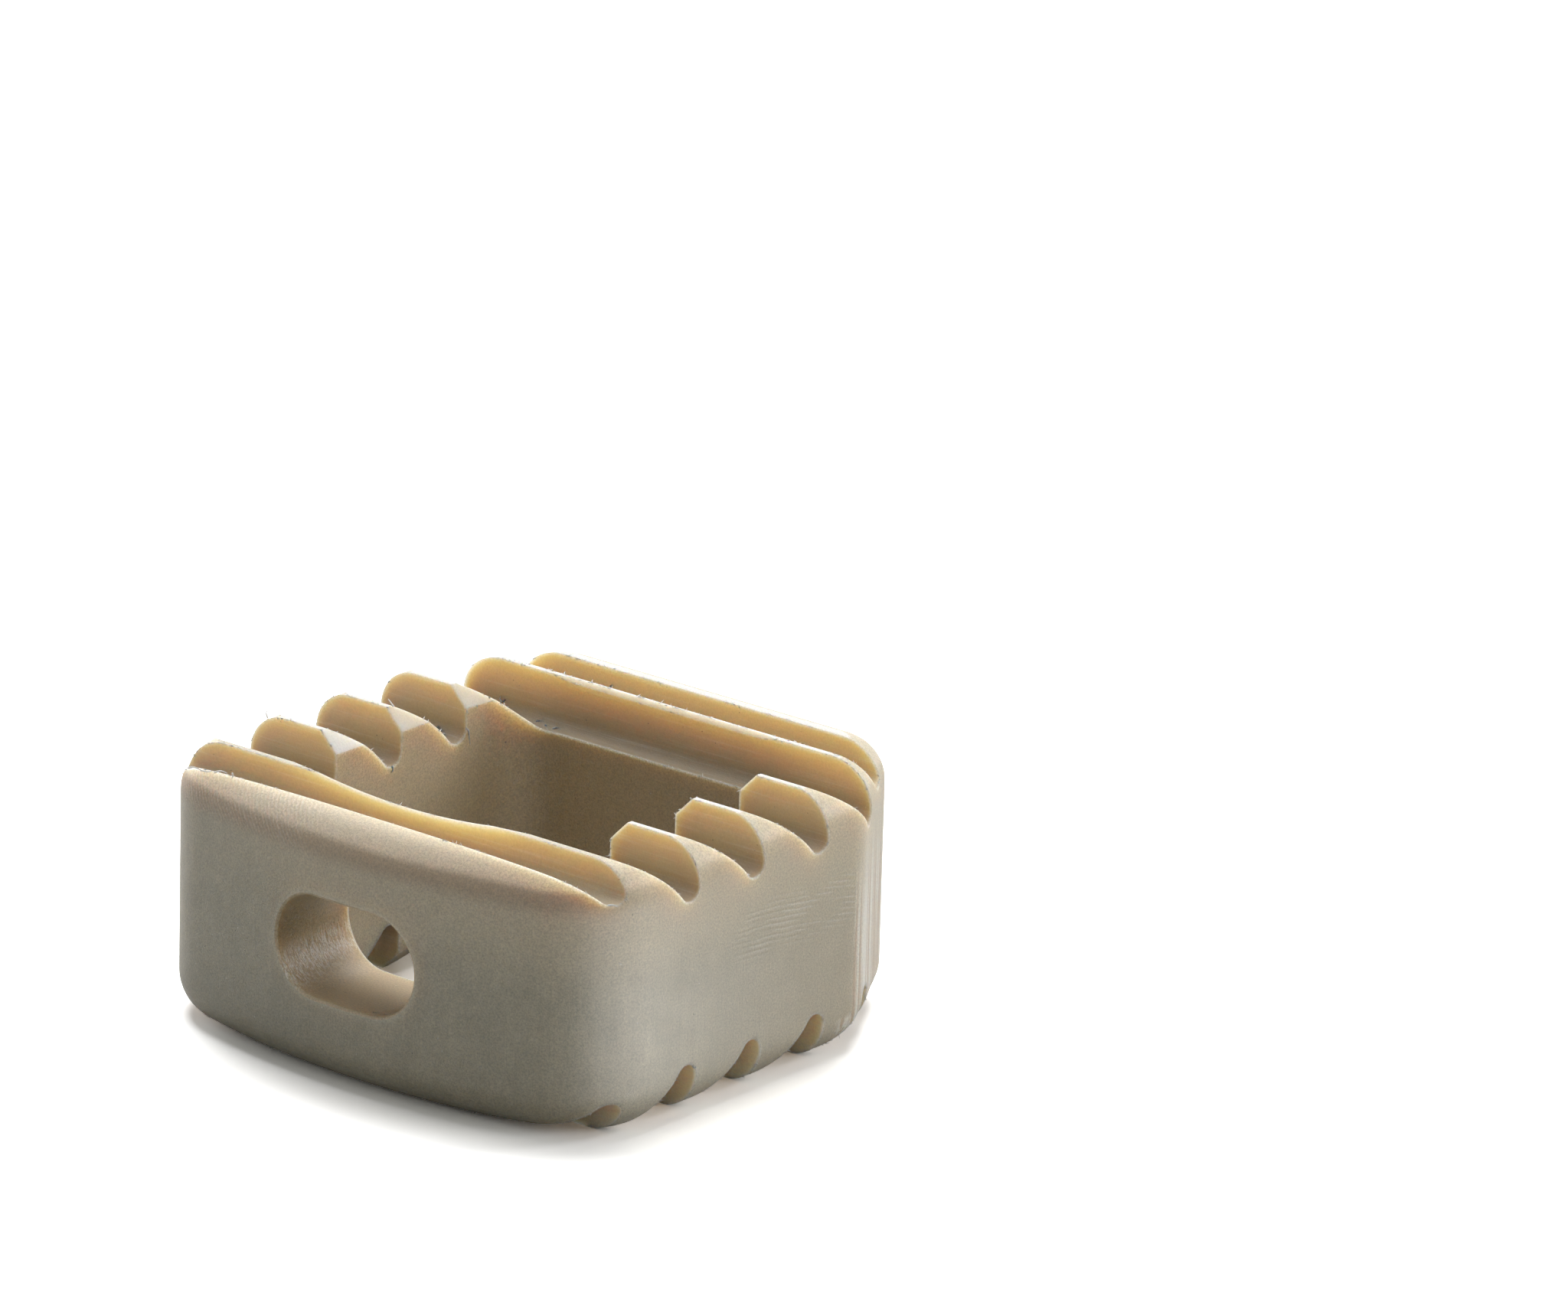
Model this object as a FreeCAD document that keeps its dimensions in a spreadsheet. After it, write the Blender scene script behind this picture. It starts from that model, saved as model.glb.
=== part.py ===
"""Anterior cervical interbody cage, machined in one piece from natural polymer bar.

Seen from above it is a rounded rectangle with a bowed front wall, two parallel sides
and a rear wall with bevelled corners.  A large graft window runs through it from top to
bottom, and an oblong slot for the inserter goes through the front wall.  Top and bottom
carry the same row of backward-leaning teeth, cut as straight grooves from side to side.
Millimetres; X is the width, -Y the front, +Z up, and the origin is at the middle of the
base.
"""
import FreeCAD, Part
import math
import os
import Sketcher

from FreeCAD import Vector

NODE = "cage_body"

# Driving sizes, in millimetres and degrees: name, value, what it measures.
SIZES = [
    ("cage_width", 14.0, "overall width, side to side"),
    ("cage_depth", 13.92, "overall depth, front bow to rear face"),
    ("cage_height", 6.6, "overall height over the teeth of both faces"),
    ("bow_radius", 21.0, "front face, seen from above"),
    ("front_corner_radius", 2.5, "upright corner between the front and a side"),
    ("bevel_angle", 31.0, "turn from a side to its rear bevel"),
    ("bevel_length", 2.74, "flat part of a rear bevel"),
    ("side_blend_radius", 1.6, "blend from a side to its rear bevel"),
    ("rear_blend_radius", 1.5, "blend from a rear bevel to the rear face"),
    ("rim_radius", 1.06, "rounding of the outer top and bottom edges"),
    ("window_width", 8.52, "graft window, side to side"),
    ("front_wall", 2.5, "bowed front wall, at the level of the slot"),
    ("rear_wall", 2.85, "rear wall, rear face to graft window"),
    ("window_front_radius", 0.8, "front corners of the graft window"),
    ("window_rear_radius", 1.45, "rear corners of the graft window"),
    ("window_chamfer", 0.5, "chamfer round both mouths of the graft window"),
    ("slot_length", 4.26, "inserter slot, end to end"),
    ("slot_height", 2.5, "inserter slot, bottom to top"),
    ("slot_rim_radius", 0.06, "softened outer edge of the inserter slot"),
    ("first_tooth_setback", 2.19, "front bow to the first steep tooth face"),
    ("tooth_pitch", 2.32, "one steep tooth face to the next"),
    ("crest_land", 0.16, "flat on top of a tooth"),
    ("groove_depth", 1.3, "crest to the bottom of a groove between long teeth"),
    ("end_groove_depth", 0.88, "the shallower first and last grooves"),
    ("groove_root_radius", 0.335, "round bottom of a groove"),
    ("flank_radius", 5.0, "gentle bulge of a tooth's long flank"),
    ("lip_groove_mouth", 1.45, "narrow groove behind the front lip, at its mouth"),
    ("rear_ridge_pitch", 1.28, "last tooth's steep face to the rear ridge's"),
]
LONG_TEETH = 4

# Sketcher's numbers for the points of a line or arc, and for the sketch's own axes.
START, END, CENTRE = range(1, 4)
HORIZONTAL_AXIS, UPRIGHT_AXIS = range(-1, -3, -1)
ORIGIN_POINT = (HORIZONTAL_AXIS, START)
# Two places closer than this, in millimetres, are the same place.
SAME = 1e-4

doc = FreeCAD.newDocument("interbody_cage")
sheet = doc.addObject("Spreadsheet::Sheet", "Sizes")
for row, (alias, value, meaning) in enumerate(SIZES, start=1):
    sheet.set(f"A{row}", alias)
    sheet.set(f"B{row}", str(value))
    sheet.set(f"C{row}", meaning)
    sheet.setAlias(f"B{row}", alias)
doc.recompute()

body = doc.addObject("PartDesign::Body", "CageBody")
body.Label = NODE
# The block is drawn about its own mid-height and stands on its lower teeth.
body.setExpression(".Placement.Base.z", "Sizes.cage_height / 2")


def worth(expression):
    """The present number of an expression on the sheet."""
    return float(sheet.evalExpression(expression))


def origin_feature(role):
    """The body's own origin plane or axis of that name."""
    return next(item for item in body.Origin.OriginFeatures if item.Role == role)


def on_circle(centre, radius, angle):
    """The point of a circle at an angle in radians."""
    return centre + Vector(radius * math.cos(angle), radius * math.sin(angle), 0)


def arc(centre, radius, start, end):
    """A counter-clockwise arc between two angles in radians."""
    return Part.ArcOfCircle(Part.Circle(centre, Vector(0, 0, 1), radius), start, end)


def line(start, end):
    """A straight edge."""
    return Part.LineSegment(start, end)


def across(piece):
    """The same line or arc on the other side of the upright axis, still counter-clockwise."""
    if isinstance(piece, Part.LineSegment):
        start, end = piece.EndPoint, piece.StartPoint
        return line(Vector(-start.x, start.y, 0), Vector(-end.x, end.y, 0))
    centre = Vector(-piece.Center.x, piece.Center.y, 0)
    return arc(centre, piece.Radius, math.pi - piece.LastParameter, math.pi - piece.FirstParameter)


class Profile:
    """A closed outline on one of the body's origin planes, with its sizes bound to the sheet."""

    def __init__(self, name, plane):
        self.sketch = body.newObject("Sketcher::SketchObject", name)
        self.sketch.AttachmentSupport = [(origin_feature(plane), "")]
        self.sketch.MapMode = "FlatFace"

    def draw(self, *pieces):
        """Adds lines and arcs and gives their numbers in the sketch."""
        return [self.sketch.addGeometry(piece, False) for piece in pieces]

    def fix(self, kind, *where):
        """A rule that has no size, such as Vertical."""
        self.sketch.addConstraint(Sketcher.Constraint(kind, *where))

    def measure(self, name, kind, *where):
        """A named size that follows the sheet; the last entry is its expression."""
        *where, expression = where
        value = worth(expression)
        if kind == "Angle":
            value = math.radians(value)
        index = self.sketch.addConstraint(Sketcher.Constraint(kind, *where, value))
        self.sketch.renameConstraint(index, name)
        self.sketch.setExpression(f"Constraints.{name}", expression)

    def join_smoothly(self, ring):
        """Each piece runs into the next without a corner, all the way round."""
        for here, after in zip(ring, ring[1:] + ring[:1]):
            self.fix("Tangent", here, END, after, START)


def bowed_front(bow, corner, half_width, bow_centre):
    """A bowed front edge with its right corner and the height where the corner ends."""
    corner_x = half_width - corner
    corner_y = bow_centre.y - math.sqrt((bow - corner) ** 2 - corner_x ** 2)
    bow_end = -math.acos(corner_x / (bow - corner))
    front = arc(bow_centre, bow, -math.pi - bow_end, bow_end)
    front_corner = arc(Vector(corner_x, corner_y, 0), corner, bow_end, 0)
    return front, front_corner, corner_y


def outline_sketch():
    """The block from above: bow, front corners, sides, rear bevels and rear face."""
    half_width = worth("Sizes.cage_width / 2")
    half_depth = worth("Sizes.cage_depth / 2")
    side_blend = worth("Sizes.side_blend_radius")
    rear_blend = worth("Sizes.rear_blend_radius")
    bevel = worth("Sizes.bevel_length")
    turn = math.radians(worth("Sizes.bevel_angle"))
    bow = worth("Sizes.bow_radius")
    front, front_corner, side_start_y = bowed_front(
        bow, worth("Sizes.front_corner_radius"), half_width, Vector(0, bow - half_depth, 0))

    bevel_rise = rear_blend * (1 - math.sin(turn)) + bevel * math.cos(turn)
    side_end_y = half_depth - bevel_rise - side_blend * math.sin(turn)
    side_blend_centre = Vector(half_width - side_blend, side_end_y, 0)
    bevel_start = on_circle(side_blend_centre, side_blend, turn)
    bevel_end = on_circle(bevel_start, bevel, turn + math.pi / 2)
    rear_blend_centre = on_circle(bevel_end, -rear_blend, turn)
    right = [
        front_corner,
        line(Vector(half_width, side_start_y, 0), Vector(half_width, side_end_y, 0)),
        arc(side_blend_centre, side_blend, 0, turn),
        line(bevel_start, bevel_end),
        arc(rear_blend_centre, rear_blend, turn, math.pi / 2),
    ]
    rear = line(Vector(rear_blend_centre.x, half_depth, 0), Vector(-rear_blend_centre.x, half_depth, 0))

    profile = Profile("outline", "XY_Plane")
    ring = profile.draw(front, *right, rear, *[across(piece) for piece in reversed(right)])
    bow_arc, corner_r, side_r, blend_r, bevel_r, turn_r, rear_line = ring[:7]
    turn_l, bevel_l, blend_l, side_l, _ = ring[7:]
    profile.join_smoothly(ring)
    profile.fix("PointOnObject", bow_arc, CENTRE, UPRIGHT_AXIS)
    profile.fix("Horizontal", rear_line)
    profile.fix("Vertical", side_r)
    profile.fix("Vertical", side_l)
    profile.fix("Symmetric", side_r, START, side_l, END, UPRIGHT_AXIS)
    profile.fix("Equal", blend_r, blend_l)
    profile.fix("Equal", bevel_r, bevel_l)
    profile.fix("Equal", turn_r, turn_l)
    profile.measure("bow_radius", "Radius", bow_arc, "Sizes.bow_radius")
    profile.measure("bow_centre", "DistanceY", *ORIGIN_POINT, bow_arc, CENTRE,
                    "Sizes.bow_radius - Sizes.cage_depth / 2")
    profile.measure("corner_radius", "Radius", corner_r, "Sizes.front_corner_radius")
    profile.measure("width", "DistanceX", side_l, END, side_r, START, "Sizes.cage_width")
    profile.measure("side_blend", "Radius", blend_r, "Sizes.side_blend_radius")
    profile.measure("right_turn", "Angle", blend_r, "Sizes.bevel_angle")
    profile.measure("left_turn", "Angle", blend_l, "Sizes.bevel_angle")
    profile.measure("bevel", "Distance", bevel_r, "Sizes.bevel_length")
    profile.measure("rear_blend", "Radius", turn_r, "Sizes.rear_blend_radius")
    profile.measure("rear_face", "DistanceY", *ORIGIN_POINT, rear_line, START, "Sizes.cage_depth / 2")
    return profile.sketch


def window_sketch():
    """The graft window from above; its front edge keeps the front wall's thickness even."""
    half_width = worth("Sizes.window_width / 2")
    rear_y = worth("Sizes.cage_depth / 2 - Sizes.rear_wall")
    rear_corner = worth("Sizes.window_rear_radius")
    bow_centre = Vector(0, worth("Sizes.bow_radius - Sizes.cage_depth / 2"), 0)
    front, front_corner, side_start_y = bowed_front(
        worth("Sizes.bow_radius - Sizes.front_wall"), worth("Sizes.window_front_radius"),
        half_width, bow_centre)

    rear_centre = Vector(half_width - rear_corner, rear_y - rear_corner, 0)
    right = [
        front_corner,
        line(Vector(half_width, side_start_y, 0), Vector(half_width, rear_centre.y, 0)),
        arc(rear_centre, rear_corner, 0, math.pi / 2),
    ]
    rear = line(Vector(rear_centre.x, rear_y, 0), Vector(-rear_centre.x, rear_y, 0))

    profile = Profile("window", "XY_Plane")
    ring = profile.draw(front, *right, rear, *[across(piece) for piece in reversed(right)])
    bow_arc, front_r, side_r, rear_r, rear_line, rear_l, side_l, _ = ring
    profile.join_smoothly(ring)
    profile.fix("PointOnObject", bow_arc, CENTRE, UPRIGHT_AXIS)
    profile.fix("Horizontal", rear_line)
    profile.fix("Vertical", side_r)
    profile.fix("Vertical", side_l)
    profile.fix("Symmetric", side_r, START, side_l, END, UPRIGHT_AXIS)
    profile.fix("Equal", rear_r, rear_l)
    profile.measure("bow_radius", "Radius", bow_arc, "Sizes.bow_radius - Sizes.front_wall")
    profile.measure("bow_centre", "DistanceY", *ORIGIN_POINT, bow_arc, CENTRE,
                    "Sizes.bow_radius - Sizes.cage_depth / 2")
    profile.measure("front_corner", "Radius", front_r, "Sizes.window_front_radius")
    profile.measure("rear_corner", "Radius", rear_r, "Sizes.window_rear_radius")
    profile.measure("width", "DistanceX", side_l, END, side_r, START, "Sizes.window_width")
    profile.measure("rear_edge", "DistanceY", *ORIGIN_POINT, rear_line, START,
                    "Sizes.cage_depth / 2 - Sizes.rear_wall")
    return profile.sketch


def slot_sketch():
    """The inserter slot from the front: an oblong with round ends, at mid-height."""
    radius = worth("Sizes.slot_height / 2")
    reach = worth("(Sizes.slot_length - Sizes.slot_height) / 2")
    quarter = math.pi / 2
    profile = Profile("inserter_slot", "XZ_Plane")
    ring = profile.draw(
        arc(Vector(reach, 0, 0), radius, -quarter, quarter),
        line(Vector(reach, radius, 0), Vector(-reach, radius, 0)),
        arc(Vector(-reach, 0, 0), radius, quarter, 3 * quarter),
        line(Vector(-reach, -radius, 0), Vector(reach, -radius, 0)),
    )
    right_end, top, left_end, _ = ring
    profile.join_smoothly(ring)
    profile.fix("PointOnObject", right_end, CENTRE, HORIZONTAL_AXIS)
    profile.fix("Symmetric", left_end, CENTRE, right_end, CENTRE, *ORIGIN_POINT)
    profile.fix("Horizontal", top)
    profile.measure("end_radius", "Radius", right_end, "Sizes.slot_height / 2")
    profile.measure("between_centres", "DistanceX", left_end, CENTRE, right_end, CENTRE,
                    "Sizes.slot_length - Sizes.slot_height")
    return profile.sketch


def groove_sketch(name, steep_place, mouth_width, depth):
    """One groove from the side: steep face, round root and a gently bulging long flank.

    The steep face is the front of the tooth behind the groove, and the mouth runs forward
    from it at crest level.  Place, mouth and depth are expressions on the sheet.
    """
    steep_y = worth(steep_place)
    crest_z = worth("Sizes.cage_height / 2")
    root = worth("Sizes.groove_root_radius")
    flank = worth("Sizes.flank_radius")
    root_centre = Vector(steep_y - root, crest_z - worth(depth) + root, 0)
    mouth_start = Vector(steep_y - worth(mouth_width), crest_z, 0)
    # The flank starts at the mouth and touches the root's circle from outside.
    span = root_centre - mouth_start
    along = (flank ** 2 - (flank + root) ** 2 + span.Length ** 2) / (2 * span.Length)
    aside = math.sqrt(flank ** 2 - along ** 2)
    ahead = span / span.Length
    flank_centre = mouth_start + ahead * along + Vector(ahead.y, -ahead.x, 0) * aside
    to_root = root_centre - flank_centre
    to_mouth = mouth_start - flank_centre
    touch = math.atan2(to_root.y, to_root.x)

    profile = Profile(name, "YZ_Plane")
    steep, root_arc, flank_arc, mouth = profile.draw(
        line(Vector(steep_y, crest_z, 0), Vector(steep_y, root_centre.y, 0)),
        arc(root_centre, root, touch + math.pi, 2 * math.pi),
        arc(flank_centre, flank, touch, math.atan2(to_mouth.y, to_mouth.x)),
        line(mouth_start, Vector(steep_y, crest_z, 0)),
    )
    profile.fix("Tangent", steep, END, root_arc, END)
    profile.fix("Tangent", root_arc, START, flank_arc, START)
    profile.fix("Coincident", flank_arc, END, mouth, START)
    profile.fix("Coincident", mouth, END, steep, START)
    profile.fix("Vertical", steep)
    profile.fix("Horizontal", mouth)
    profile.measure("root_radius", "Radius", root_arc, "Sizes.groove_root_radius")
    profile.measure("flank_radius", "Radius", flank_arc, "Sizes.flank_radius")
    profile.measure("mouth_width", "DistanceX", mouth, START, mouth, END, mouth_width)
    profile.measure("steep_face", "DistanceX", *ORIGIN_POINT, steep, START, steep_place)
    profile.measure("crest_height", "DistanceY", *ORIGIN_POINT, steep, START, "Sizes.cage_height / 2")
    profile.measure("root_height", "DistanceY", *ORIGIN_POINT, root_arc, CENTRE,
                    f"Sizes.cage_height / 2 - {depth} + Sizes.groove_root_radius")
    return profile.sketch


def edges_where(feature, test):
    """The names of a feature's edges that pass a test."""
    return [f"Edge{number}" for number, edge in enumerate(feature.Shape.Edges, start=1) if test(edge)]


def lies_flat(edge):
    """True for an edge in the plane of the top or the bottom."""
    box = edge.BoundBox
    level = worth("Sizes.cage_height / 2")
    return box.ZLength < SAME and abs(abs(box.Center.z) - level) < SAME


def cut_through(name, sketch, both_ways=True):
    """A pocket through everything, from the sketch both ways or only towards the front."""
    before = body.Tip.Shape.Volume
    pocket = body.newObject("PartDesign::Pocket", name)
    pocket.Profile = sketch
    pocket.Type = "ThroughAll"
    pocket.SideType = "Symmetric" if both_ways else "One side"
    pocket.Reversed = not both_ways
    doc.recompute()
    if not pocket.Shape.Volume < before:
        raise RuntimeError(f"{name} removed nothing")
    return pocket


block = body.newObject("PartDesign::Pad", "Block")
block.Profile = outline_sketch()
block.SideType = "Symmetric"
block.setExpression("Length", "Sizes.cage_height")
doc.recompute()

rim = body.newObject("PartDesign::Fillet", "RimRounding")
rim.Base = (block, edges_where(block, lies_flat))
rim.setExpression("Radius", "Sizes.rim_radius")
doc.recompute()

window_outline = window_sketch()
window = cut_through("GraftWindow", window_outline)
window_box = window_outline.Shape.BoundBox
window_box.enlarge(SAME)


def is_window_mouth(edge):
    """True for an edge round the top or bottom mouth of the graft window."""
    box = edge.BoundBox
    inside = window_box.XMin < box.XMin and box.XMax < window_box.XMax
    return lies_flat(edge) and inside and window_box.YMin < box.YMin and box.YMax < window_box.YMax


mouth_chamfer = body.newObject("PartDesign::Chamfer", "WindowChamfer")
mouth_chamfer.Base = (window, edges_where(window, is_window_mouth))
mouth_chamfer.setExpression("Size", "Sizes.window_chamfer")
doc.recompute()

slot_outline = slot_sketch()
slot = cut_through("InserterSlot", slot_outline, both_ways=False)


def is_slot_rim(edge):
    """True for an edge where the slot meets the bowed front face."""
    bow_centre = Vector(0, worth("Sizes.bow_radius - Sizes.cage_depth / 2"), 0)
    half_slot = worth("Sizes.slot_length / 2") + SAME
    bow = worth("Sizes.bow_radius")
    for place in edge.discretize(3):
        flat_place = Vector(place.x, place.y, 0)
        if abs((flat_place - bow_centre).Length - bow) > SAME or abs(place.x) > half_slot:
            return False
        if abs(place.z) > worth("Sizes.slot_height / 2") + SAME:
            return False
    return True


slot_rim = body.newObject("PartDesign::Fillet", "SlotRim")
slot_rim.Base = (slot, edges_where(slot, is_slot_rim))
slot_rim.setExpression("Radius", "Sizes.slot_rim_radius")
doc.recompute()

# Steep tooth faces, front to back, as expressions on the depth axis.
FIRST_STEEP = "Sizes.first_tooth_setback - Sizes.cage_depth / 2"
SECOND_STEEP = f"{FIRST_STEEP} + Sizes.tooth_pitch"
RIDGE_STEEP = f"{FIRST_STEEP} + {LONG_TEETH} * Sizes.tooth_pitch + Sizes.rear_ridge_pitch"

lip_groove = cut_through(
    "LipGroove",
    groove_sketch("lip_groove", FIRST_STEEP, "Sizes.lip_groove_mouth", "Sizes.end_groove_depth"))
ridge_groove = cut_through(
    "RidgeGroove",
    groove_sketch("ridge_groove", RIDGE_STEEP, "Sizes.rear_ridge_pitch - Sizes.crest_land",
                  "Sizes.end_groove_depth"))
tooth_groove = cut_through(
    "ToothGroove",
    groove_sketch("tooth_groove", SECOND_STEEP, "Sizes.tooth_pitch - Sizes.crest_land",
                  "Sizes.groove_depth"))

# The same grooves on the bottom, and the tooth groove repeated along the depth.
end_grooves = body.newObject("PartDesign::Mirrored", "EndGroovesBelow")
end_grooves.Originals = [lip_groove, ridge_groove]
end_grooves.MirrorPlane = (origin_feature("XY_Plane"), [""])
body.Tip = end_grooves
doc.recompute()

row_of_teeth = body.newObject("PartDesign::MultiTransform", "RowOfTeeth")
row_of_teeth.Originals = [tooth_groove]
along_depth = body.newObject("PartDesign::LinearPattern", "AlongDepth")
along_depth.Direction = (origin_feature("Y_Axis"), [""])
along_depth.Occurrences = LONG_TEETH
along_depth.setExpression("Length", f"{LONG_TEETH - 1} * Sizes.tooth_pitch")
below = body.newObject("PartDesign::Mirrored", "Below")
below.MirrorPlane = (origin_feature("XY_Plane"), [""])
row_of_teeth.Transformations = [along_depth, below]
body.Tip = row_of_teeth
doc.recompute()

for item in doc.Objects:
    if "Invalid" in item.State or "Error" in item.State:
        raise RuntimeError(f"{item.Name} failed: {item.State}")
if body.Shape.isNull() or not body.Shape.isValid() or len(body.Shape.Solids) != 1:
    raise RuntimeError(f"{NODE} is not one valid solid")

os.makedirs("parts", exist_ok=True)
body.Shape.exportStep(os.path.join("parts", f"{NODE}.step"))
box = body.Shape.optimalBoundingBox(True, False)
print(f"{NODE}: {box.XLength:.3f} x {box.YLength:.3f} x {box.ZLength:.3f} mm, {body.Shape.Volume:.2f} mm3")
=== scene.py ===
"""The looks of a one-piece neck cage, milled from natural PEEK bar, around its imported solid."""

import math

import bmesh
import bpy
from mathutils import Matrix, Vector


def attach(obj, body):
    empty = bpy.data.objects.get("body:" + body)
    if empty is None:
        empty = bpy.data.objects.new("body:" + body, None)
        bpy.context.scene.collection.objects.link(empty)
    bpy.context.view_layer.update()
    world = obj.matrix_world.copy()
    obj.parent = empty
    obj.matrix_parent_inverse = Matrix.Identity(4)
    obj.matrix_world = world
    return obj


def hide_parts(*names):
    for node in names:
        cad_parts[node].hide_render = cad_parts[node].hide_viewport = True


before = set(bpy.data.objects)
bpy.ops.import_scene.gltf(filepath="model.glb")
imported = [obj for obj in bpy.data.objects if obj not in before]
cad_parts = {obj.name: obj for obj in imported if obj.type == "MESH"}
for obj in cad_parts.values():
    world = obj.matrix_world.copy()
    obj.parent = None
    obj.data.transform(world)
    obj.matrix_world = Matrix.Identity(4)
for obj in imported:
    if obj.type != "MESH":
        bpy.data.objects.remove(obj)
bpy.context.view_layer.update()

# The bar stock, milled to its outline: a bowed front wall, two parallel sides, bevelled rear
# corners and a flat rear wall, in natural beige PEEK. A ball-nosed cutter rounds both rims.
# Lengths are in millimetres about the block's own middle, and become metres in the mesh.
MM = 0.001
cage_width, cage_depth, cage_height = 14.0, 13.92, 6.6
bow_radius, front_corner_radius = 21.0, 2.5
bevel_turn, bevel_length = math.radians(31.0), 2.74
side_blend_radius, rear_blend_radius, rim_radius = 1.6, 1.5, 1.06
bow_centre_y = bow_radius - cage_depth / 2


def walk_arc(centre_x, centre_y, radius, start, end, step=0.16):
    """Points (x, y, outward x, outward y) along an arc, its end left to the next piece."""
    count = max(8, round(abs(end - start) * radius / step))
    turns = [start + (end - start) * number / count for number in range(count)]
    return [(centre_x + radius * math.cos(turn), centre_y + radius * math.sin(turn),
             math.cos(turn), math.sin(turn)) for turn in turns]


def walk_line(start, end, normal, step=0.5):
    """Points of the same kind along a straight wall."""
    length = math.dist(start, end)
    count = max(2, round(length / step))
    return [(start[0] + (end[0] - start[0]) * number / count,
             start[1] + (end[1] - start[1]) * number / count,
             *normal) for number in range(count)]


def both_sides(right_half):
    """A right half, walked from the front middle to the rear middle, closed on the left."""
    left_half = [(-x, y, -across, along) for x, y, across, along in reversed(right_half[1:-1])]
    return right_half + left_half


def bowed_walk(bow, corner, half_width):
    """From the middle of a bowed front edge round its right corner; also where that ends."""
    corner_x = half_width - corner
    corner_y = bow_centre_y - math.sqrt((bow - corner) ** 2 - corner_x ** 2)
    bow_end = -math.acos(corner_x / (bow - corner))
    front = walk_arc(0, bow_centre_y, bow, -math.pi / 2, bow_end)
    return front + walk_arc(corner_x, corner_y, corner, bow_end, 0), corner_y


def block_walk():
    """The block's outline from above."""
    half_width, half_depth = cage_width / 2, cage_depth / 2
    walk, side_start = bowed_walk(bow_radius, front_corner_radius, half_width)
    rise = rear_blend_radius * (1 - math.sin(bevel_turn)) + bevel_length * math.cos(bevel_turn)
    side_end = half_depth - rise - side_blend_radius * math.sin(bevel_turn)
    facing = (math.cos(bevel_turn), math.sin(bevel_turn))
    blend_x = half_width - side_blend_radius
    bevel_start = (blend_x + side_blend_radius * facing[0],
                   side_end + side_blend_radius * facing[1])
    bevel_end = (bevel_start[0] - bevel_length * facing[1],
                 bevel_start[1] + bevel_length * facing[0])
    rear_x = bevel_end[0] - rear_blend_radius * facing[0]
    walk += walk_line((half_width, side_start), (half_width, side_end), (1, 0))
    walk += walk_arc(blend_x, side_end, side_blend_radius, 0, bevel_turn)
    walk += walk_line(bevel_start, bevel_end, facing)
    walk += walk_arc(rear_x, half_depth - rear_blend_radius, rear_blend_radius,
                     bevel_turn, math.pi / 2)
    walk += walk_line((rear_x, half_depth), (0, half_depth), (0, 1))
    return both_sides(walk + [(0, half_depth, 0, 1)])


def stack_rings(name, rings, marks=0.0):
    """A closed mesh from equal rings of points, the first and the last ring filled in.

    The marks say what cuts each band of faces: one number, or one for every band.
    """
    mesh = bpy.data.meshes.new(name)
    size = len(rings[0])
    corners = [Vector(place) * MM for ring in rings for place in ring]
    faces = []
    for level in range(len(rings) - 1):
        low, high = level * size, (level + 1) * size
        for here in range(size):
            after = (here + 1) % size
            faces.append((low + here, low + after, high + after, high + here))
    faces.append(tuple(reversed(range(size))))
    faces.append(tuple(range(len(corners) - size, len(corners))))
    mesh.from_pydata(corners, [], faces)
    made = bmesh.new()
    made.from_mesh(mesh)
    bmesh.ops.recalc_face_normals(made, faces=made.faces)
    made.to_mesh(mesh)
    made.free()
    cut_by = mesh.attributes.new("cut_by", "FLOAT", "FACE")
    for number in range(len(mesh.polygons)):
        band = min(number // size, len(rings) - 2)
        cut_by.data[number].value = marks[band] if isinstance(marks, list) else marks
    piece = bpy.data.objects.new(name, mesh)
    bpy.context.collection.objects.link(piece)
    return piece


def at_level(walk, push, level):
    """A walk moved outwards by a push and set at a height."""
    return [(x + across * push, y + along * push, level) for x, y, across, along in walk]


RIM_STEPS = 14
outline = block_walk()
rim_turns = [math.pi / 2 * step / RIM_STEPS for step in range(RIM_STEPS + 1)]
upper_rim = [at_level(outline, rim_radius * (math.cos(turn) - 1),
                      cage_height / 2 + rim_radius * (math.sin(turn) - 1)) for turn in rim_turns]
lower_rim = [[(x, y, -z) for x, y, z in ring] for ring in reversed(upper_rim)]
cage = stack_rings("cage", lower_rim + upper_rim)

# The graft window, milled right through and countersunk at both mouths. Its front edge is
# bowed like the wall, and its rear corners are rounder than its front ones.
window_width, front_wall, rear_wall = 8.52, 2.5, 2.85
window_front_radius, window_rear_radius, window_chamfer = 0.8, 1.45, 0.5
# How far a cutter reaches past the block, and the marks by which the material knows its faces.
PAST = 0.3
WINDOW_WALL, COUNTERSINK = 2.0, 3.0


def window_walk():
    """The window's outline from above."""
    half_width = window_width / 2
    rear_y = cage_depth / 2 - rear_wall
    walk, side_start = bowed_walk(bow_radius - front_wall, window_front_radius, half_width)
    corner_x, corner_y = half_width - window_rear_radius, rear_y - window_rear_radius
    walk += walk_line((half_width, side_start), (half_width, corner_y), (1, 0))
    walk += walk_arc(corner_x, corner_y, window_rear_radius, 0, math.pi / 2)
    walk += walk_line((corner_x, rear_y), (0, rear_y), (0, 1))
    return both_sides(walk + [(0, rear_y, 0, 1)])


mouth = window_walk()
window_cutter = stack_rings("window cutter", [
    at_level(mouth, window_chamfer + PAST, -cage_height / 2 - PAST),
    at_level(mouth, 0, -cage_height / 2 + window_chamfer),
    at_level(mouth, 0, cage_height / 2 - window_chamfer),
    at_level(mouth, window_chamfer + PAST, cage_height / 2 + PAST)],
    [COUNTERSINK, WINDOW_WALL, COUNTERSINK])

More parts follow.
